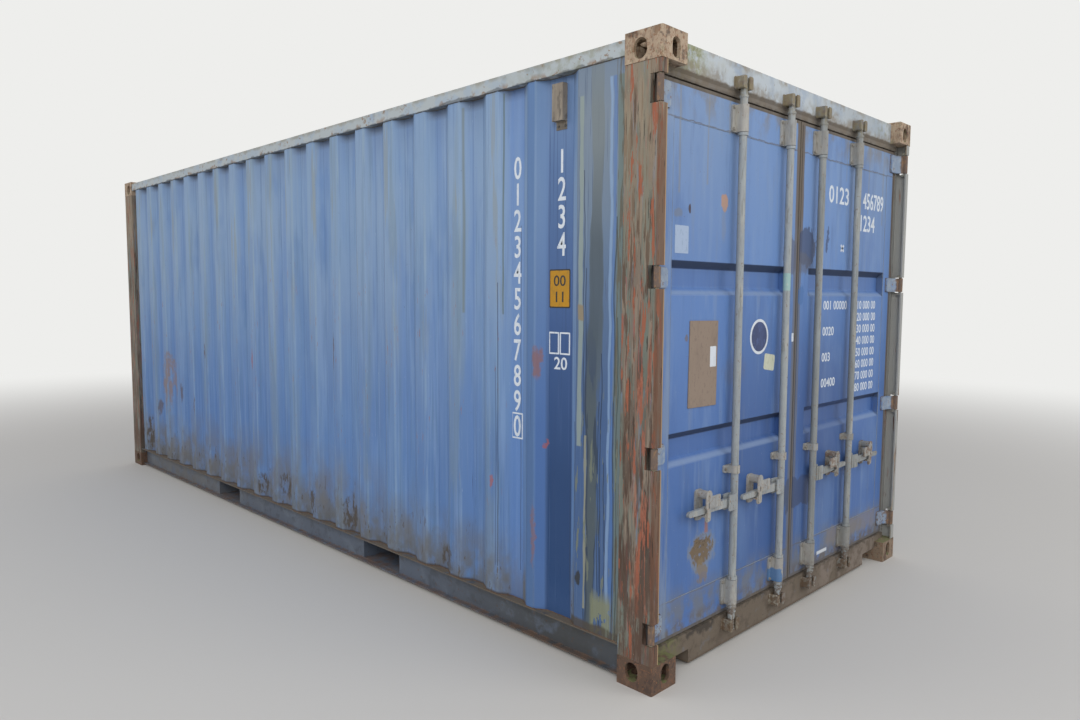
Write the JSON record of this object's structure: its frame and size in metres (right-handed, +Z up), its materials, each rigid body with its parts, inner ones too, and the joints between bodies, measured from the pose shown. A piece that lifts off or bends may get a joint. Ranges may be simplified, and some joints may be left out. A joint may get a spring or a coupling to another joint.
{
  "type": "twenty foot dry freight shipping container",
  "caption": "Steel freight container with corrugated walls, corner castings, fork pockets and double end doors locked by turning bars with lifting handles.",
  "frame": {"origin": "middle of the footprint on the ground, level with the feet of the corner castings", "axes": "+X along the length towards the doors, +Y across to the right-hand leaf's side when facing the doors, +Z up"},
  "size_m": [6.058, 2.438, 2.591],
  "materials": {
    "casting_steel": "cast steel, painted once and now rusted brown with ochre patches",
    "post_paint": "folded steel plate, paint peeled to primer, rust and grey-green grime",
    "wall_paint": "faded medium blue marine paint on corrugated steel sheet",
    "door_paint": "medium blue marine paint on the door leaves",
    "header_paint": "chalked pale blue-grey paint with moss",
    "underframe_paint": "dark blue-grey paint, edges rusted brown",
    "roof_paint": "chalked blue paint with dirt in the troughs",
    "gear_paint": "pale grey zinc and paint, dull, with rust at the edges",
    "gasket_rubber": "aged black door gasket",
    "plywood": "oiled hardwood plywood, scuffed"
  },
  "bodies": {
    "frame": {"bottom_corner_castings": "casting_steel", "top_corner_castings": "casting_steel", "rear_corner_posts": "post_paint", "front_corner_posts": "wall_paint", "door_header": "header_paint", "door_sill": "underframe_paint", "front_top_rail": "wall_paint", "front_bottom_rail": "underframe_paint", "top_side_rails": "wall_paint", "bottom_side_rails": "underframe_paint", "cross_members": "underframe_paint", "fork_pockets": "underframe_paint", "floor_boards": "plywood", "left_side_wall": "wall_paint", "right_side_wall": "wall_paint", "front_end_wall": "wall_paint", "roof_panel": "roof_paint", "roof_corner_plates": "roof_paint", "side_vents": "gear_paint", "bar_keepers": "gear_paint", "hinge_lugs": "gear_paint"},
    "left_door": {"left_door_frame": "door_paint", "left_door_panel": "door_paint", "left_door_gasket": "gasket_rubber", "left_hinge_blades": "door_paint", "left_bar_brackets": "gear_paint", "left_handle_retainers": "gear_paint"},
    "left_outer_bar": {"left_outer_bar": "gear_paint"},
    "left_outer_handle": {"left_outer_handle": "gear_paint"},
    "left_outer_catch": {"left_outer_catch": "gear_paint"},
    "left_inner_bar": {"left_inner_bar": "gear_paint"},
    "left_inner_handle": {"left_inner_handle": "gear_paint"},
    "left_inner_catch": {"left_inner_catch": "gear_paint"},
    "right_door": {"right_door_frame": "door_paint", "right_door_panel": "door_paint", "right_door_gasket": "gasket_rubber", "right_hinge_blades": "door_paint", "right_bar_brackets": "gear_paint", "right_handle_retainers": "gear_paint"},
    "right_outer_bar": {"right_outer_bar": "gear_paint"},
    "right_outer_handle": {"right_outer_handle": "gear_paint"},
    "right_outer_catch": {"right_outer_catch": "gear_paint"},
    "right_inner_bar": {"right_inner_bar": "gear_paint"},
    "right_inner_handle": {"right_inner_handle": "gear_paint"},
    "right_inner_catch": {"right_inner_catch": "gear_paint"}
  },
  "joints": [
    {"name": "left_door_swing", "type": "hinge", "parent": "frame", "child": "left_door", "pos_m": [3.01, -1.201, 1.3], "axis": [0, 0, -1], "range_deg": [0, 264]},
    {"name": "left_outer_bar_turn", "type": "hinge", "parent": "left_door", "child": "left_outer_bar", "pos_m": [2.999, -0.59, 1.3], "axis": [0, 0, -1], "range_deg": [-90, 0]},
    {"name": "left_outer_handle_lift", "type": "hinge", "parent": "left_outer_bar", "child": "left_outer_handle", "pos_m": [3.004, -0.642, 0.678], "axis": [1, 0, 0], "range_deg": [-6, 0]},
    {"name": "left_outer_catch_swing", "type": "hinge", "parent": "left_door", "child": "left_outer_catch", "pos_m": [3.023, -0.828, 0.743], "axis": [-1, 0, 0], "range_deg": [-100, 0]},
    {"name": "left_inner_bar_turn", "type": "hinge", "parent": "left_door", "child": "left_inner_bar", "pos_m": [2.999, -0.166, 1.3], "axis": [0, 0, -1], "range_deg": [-90, 0]},
    {"name": "left_inner_handle_lift", "type": "hinge", "parent": "left_inner_bar", "child": "left_inner_handle", "pos_m": [3.004, -0.218, 0.678], "axis": [1, 0, 0], "range_deg": [-6, 0]},
    {"name": "left_inner_catch_swing", "type": "hinge", "parent": "left_door", "child": "left_inner_catch", "pos_m": [3.023, -0.404, 0.743], "axis": [-1, 0, 0], "range_deg": [-100, 0]},
    {"name": "right_door_swing", "type": "hinge", "parent": "frame", "child": "right_door", "pos_m": [3.01, 1.201, 1.3], "axis": [0, 0, 1], "range_deg": [0, 264]},
    {"name": "right_outer_bar_turn", "type": "hinge", "parent": "right_door", "child": "right_outer_bar", "pos_m": [2.999, 0.59, 1.3], "axis": [0, 0, 1], "range_deg": [-90, 0]},
    {"name": "right_outer_handle_lift", "type": "hinge", "parent": "right_outer_bar", "child": "right_outer_handle", "pos_m": [3.004, 0.642, 0.678], "axis": [-1, 0, 0], "range_deg": [-6, 0]},
    {"name": "right_outer_catch_swing", "type": "hinge", "parent": "right_door", "child": "right_outer_catch", "pos_m": [3.023, 0.828, 0.743], "axis": [1, 0, 0], "range_deg": [-100, 0]},
    {"name": "right_inner_bar_turn", "type": "hinge", "parent": "right_door", "child": "right_inner_bar", "pos_m": [2.999, 0.166, 1.3], "axis": [0, 0, 1], "range_deg": [-90, 0]},
    {"name": "right_inner_handle_lift", "type": "hinge", "parent": "right_inner_bar", "child": "right_inner_handle", "pos_m": [3.004, 0.218, 0.678], "axis": [-1, 0, 0], "range_deg": [-6, 0]},
    {"name": "right_inner_catch_swing", "type": "hinge", "parent": "right_door", "child": "right_inner_catch", "pos_m": [3.023, 0.404, 0.743], "axis": [1, 0, 0], "range_deg": [-100, 0]}
  ]
}
